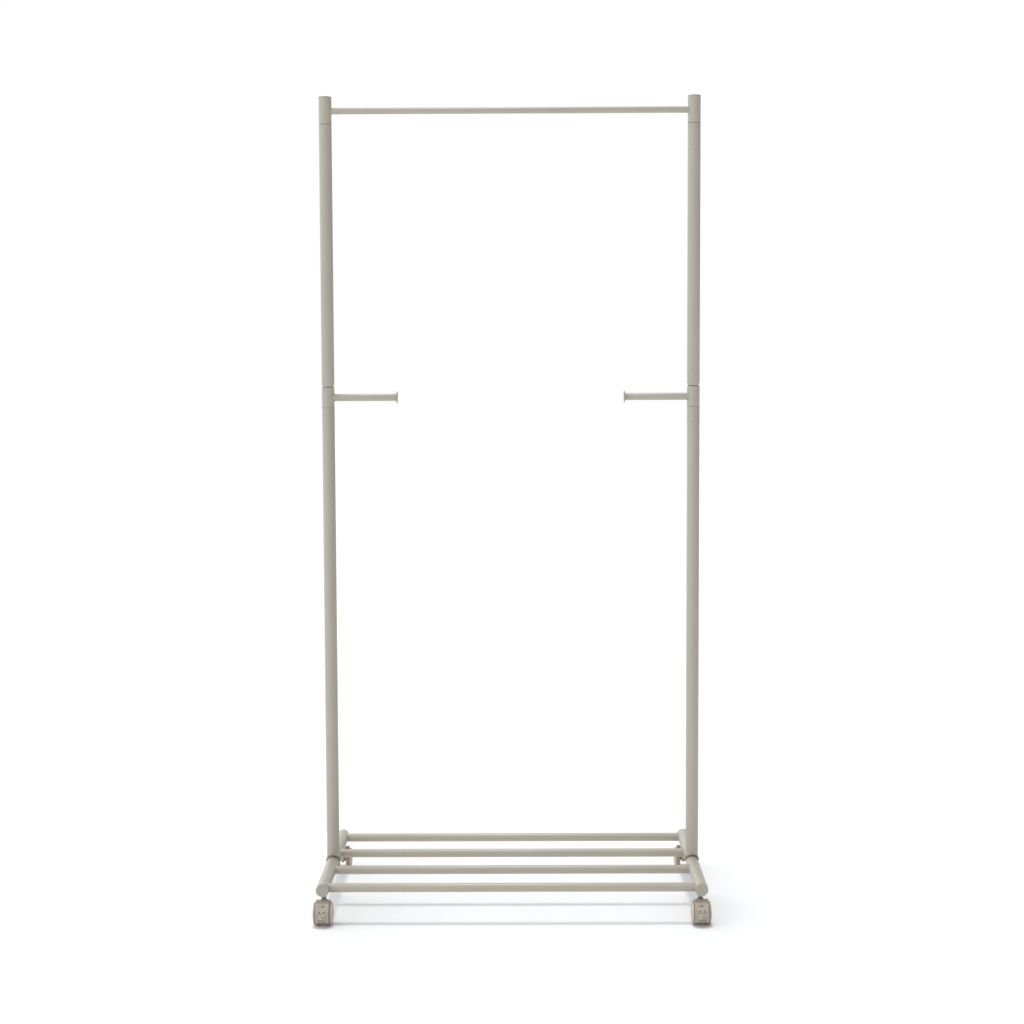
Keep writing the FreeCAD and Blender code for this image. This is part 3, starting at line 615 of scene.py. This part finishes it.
class RACK_OT_finishes(bpy.types.Operator):
    """Give every carried-over part its finish"""
    bl_idname = "rack.finishes"
    bl_label = "Finishes"

    def execute(self, context):
        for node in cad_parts.values():
            for slot in node.material_slots:
                name = slot.material.name.split(".")[0] if slot.material else ""
                if name not in SLOT_FINISHES:
                    raise ValueError(f"no finish for {name} on {node.name}")
                # spigots take near-black painted shade, so the open joints of the posts read dark
                spigot = node.name.endswith(("_post_spigot", "_top_spigot"))
                slot.material = material("neck_shade" if spigot else SLOT_FINISHES[name])
        return {"FINISHED"}


# Stage

FLOOR_REACH, VIEW_REACH = 30, 200  # metres
SENSOR_WIDTH = 36  # millimetres
OVERHEAD_FROM = (-0.04, 0.1, 1)


def surroundings(stage):
    """White studio that gives more light from the left, and looks plain white behind."""
    world = Finish(bpy.data.worlds.new("studio"))
    direction = world.node("ShaderNodeTexCoord", output="Generated")
    across = world.node("ShaderNodeSeparateXYZ", None, {"Vector": direction}, "X")
    cool_left, warm_right = (0.94, 1.0, 1.07), (1.02, 1.0, 0.97)
    tint = world.blend(across * 0.5 + 0.5, cool_left, warm_right)
    lit = world.node("ShaderNodeBackground", None, {
        "Color": tint, "Strength": stage.surround - across * stage.lean})
    seen = world.node("ShaderNodeBackground", None, {"Color": (1, 1, 1, 1), "Strength": 1.0})
    from_camera = world.node("ShaderNodeLightPath", output="Is Camera Ray")
    mixed = world.node("ShaderNodeMixShader", None, {0: from_camera, 1: lit, 2: seen})
    world.node("ShaderNodeOutputWorld", None, {"Surface": mixed})
    return world.owner


def lay_floor(scene):
    """A wide flat floor under the rack."""
    ground = bmesh.new()
    bmesh.ops.create_grid(ground, x_segments=2, y_segments=2, size=FLOOR_REACH)
    mesh = bpy.data.meshes.new("floor")
    ground.to_mesh(mesh)
    ground.free()
    mesh.materials.append(material("studio_floor"))
    floor = bpy.data.objects.new("floor", mesh)
    scene.collection.objects.link(floor)


def hang_light(scene, stage):
    """One wide light from above that draws the soft shadows on the floor."""
    light = bpy.data.lights.new("overhead", "SUN")
    light.energy, light.angle = stage.overhead, stage.softness
    lamp = bpy.data.objects.new("overhead", light)
    scene.collection.objects.link(lamp)
    lamp.matrix_world = along(OVERHEAD_FROM)


def place_camera(scene, stage):
    """The camera in front of the rack."""
    data = bpy.data.cameras.new("camera")
    data.lens, data.sensor_width, data.shift_y = stage.lens, SENSOR_WIDTH, stage.shift
    data.clip_end = VIEW_REACH
    camera = bpy.data.objects.new("camera", data)
    scene.collection.objects.link(camera)
    camera.matrix_world = (
        Matrix.Translation(stage.camera_place)
        @ Matrix.Rotation(-stage.camera_turn, 4, "Z")
        @ Matrix.Rotation(math.pi / 2 - stage.camera_dip, 4, "X")
        @ Matrix.Rotation(stage.camera_roll, 4, "Z"))
    scene.camera = camera


class RACK_OT_stage(bpy.types.Operator):
    """Floor, soft light, white surroundings and the camera"""
    bl_idname = "rack.stage"
    bl_label = "Stage"

    def execute(self, context):
        scene, stage = context.scene, context.scene.rack_stage
        scene.view_settings.view_transform = "Standard"
        scene.view_settings.look = "None"
        lay_floor(scene)
        scene.world = surroundings(stage)
        hang_light(scene, stage)
        place_camera(scene, stage)
        return {"FINISHED"}


# Settings and panel

class RackLooks(bpy.types.PropertyGroup):
    """Colours and small sizes of the rack's finish"""
    paint_colour: bpy.props.FloatVectorProperty(
        name="Paint", description="Powder coat on the tubes", subtype="COLOR",
        default=(0.425, 0.387, 0.316), min=0, max=1)
    cap_colour: bpy.props.FloatVectorProperty(
        name="Caps", description="Plastic of caps and discs", subtype="COLOR",
        default=(0.39, 0.355, 0.295), min=0, max=1)
    # darker than the caps: painted shade for the dark gap line at the foot of each post
    saddle_colour: bpy.props.FloatVectorProperty(
        name="Saddles", description="Washers under the posts", subtype="COLOR",
        default=(0.2, 0.172, 0.135), min=0, max=1)
    caster_colour: bpy.props.FloatVectorProperty(
        name="Casters", description="Plastic of the caster hoods", subtype="COLOR",
        default=(0.41, 0.36, 0.288), min=0, max=1)
    cover_colour: bpy.props.FloatVectorProperty(
        name="Wheel covers", description="Plastic of the wheel covers", subtype="COLOR",
        default=(0.54, 0.478, 0.385), min=0, max=1)
    pedal_colour: bpy.props.FloatVectorProperty(
        name="Pedals", description="Plastic of the brake pedals", subtype="COLOR",
        default=(0.455, 0.405, 0.335), min=0, max=1)
    tread_colour: bpy.props.FloatVectorProperty(
        name="Treads", description="Hard rubber of the treads", subtype="COLOR",
        default=(0.33, 0.272, 0.213), min=0, max=1)
    seam: bpy.props.FloatProperty(
        name="Seam", description="Open joint between two tube ends", unit="LENGTH",
        default=0.0007, min=0, max=0.0015)
    edge_rounding: bpy.props.FloatProperty(
        name="Tube ends", description="Rounding of the cut tube ends", unit="LENGTH",
        default=0.0005, min=0.0001, max=0.001)


class RackStage(bpy.types.PropertyGroup):
    """Camera and light"""
    camera_place: bpy.props.FloatVectorProperty(
        name="Camera", description="Where the camera stands", subtype="TRANSLATION",
        default=(0.0243, -3.8, 1.198))
    camera_turn: bpy.props.FloatProperty(
        name="Turn", description="Camera turned to the right", subtype="ANGLE",
        default=math.radians(-0.3313))
    camera_dip: bpy.props.FloatProperty(
        name="Dip", description="Camera tipped down", subtype="ANGLE",
        default=math.radians(3.9228))
    camera_roll: bpy.props.FloatProperty(
        name="Roll", description="Camera rolled about its own axis", subtype="ANGLE",
        default=math.radians(-0.2209))
    lens: bpy.props.FloatProperty(
        name="Lens", description="Focal length in millimetres", default=60.15, min=10)
    shift: bpy.props.FloatProperty(
        name="Shift", description="Vertical shift of the lens", default=-0.03)
    surround: bpy.props.FloatProperty(
        name="Surround", description="Brightness of the white surroundings", default=0.88, min=0)
    lean: bpy.props.FloatProperty(
        name="Lean", description="How much brighter the left is than the middle", default=0.62,
        min=0, max=0.9)
    overhead: bpy.props.FloatProperty(
        name="Overhead", description="Strength of the overhead light", default=1.15, min=0)
    softness: bpy.props.FloatProperty(
        name="Softness", description="Width of the overhead light", subtype="ANGLE",
        default=math.radians(11))


STEPS = [RACK_OT_stage, RACK_OT_posts, RACK_OT_rails, RACK_OT_caps, RACK_OT_wheels,
         RACK_OT_hoods, RACK_OT_pedals, RACK_OT_finishes]


class RACK_PT_panel(bpy.types.Panel):
    """Lists the rack's building steps and settings"""
    bl_idname = "RACK_PT_panel"
    bl_label = "Rolling clothes rack"
    bl_space_type = "VIEW_3D"
    bl_region_type = "UI"
    bl_category = "Rack"

    def draw(self, context):
        for settings in (context.scene.rack_looks, context.scene.rack_stage):
            for name in settings.__annotations__:
                self.layout.prop(settings, name)
        for step in STEPS:
            self.layout.operator(step.bl_idname)


CLASSES = [RackLooks, RackStage, *STEPS, RACK_PT_panel]


def register():
    """Make the classes and the two groups of settings known to Blender."""
    for item in CLASSES:
        bpy.utils.register_class(item)
    bpy.types.Scene.rack_looks = bpy.props.PointerProperty(type=RackLooks)
    bpy.types.Scene.rack_stage = bpy.props.PointerProperty(type=RackStage)


def unregister():
    """Take back what register did."""
    del bpy.types.Scene.rack_stage
    del bpy.types.Scene.rack_looks
    for item in reversed(CLASSES):
        bpy.utils.unregister_class(item)


def main():
    """Register the add-on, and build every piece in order."""
    register()
    for step in STEPS:
        group, name = step.bl_idname.split(".")
        getattr(getattr(bpy.ops, group), name)()
    bpy.context.view_layer.update()


if __name__ == "__main__":
    main()
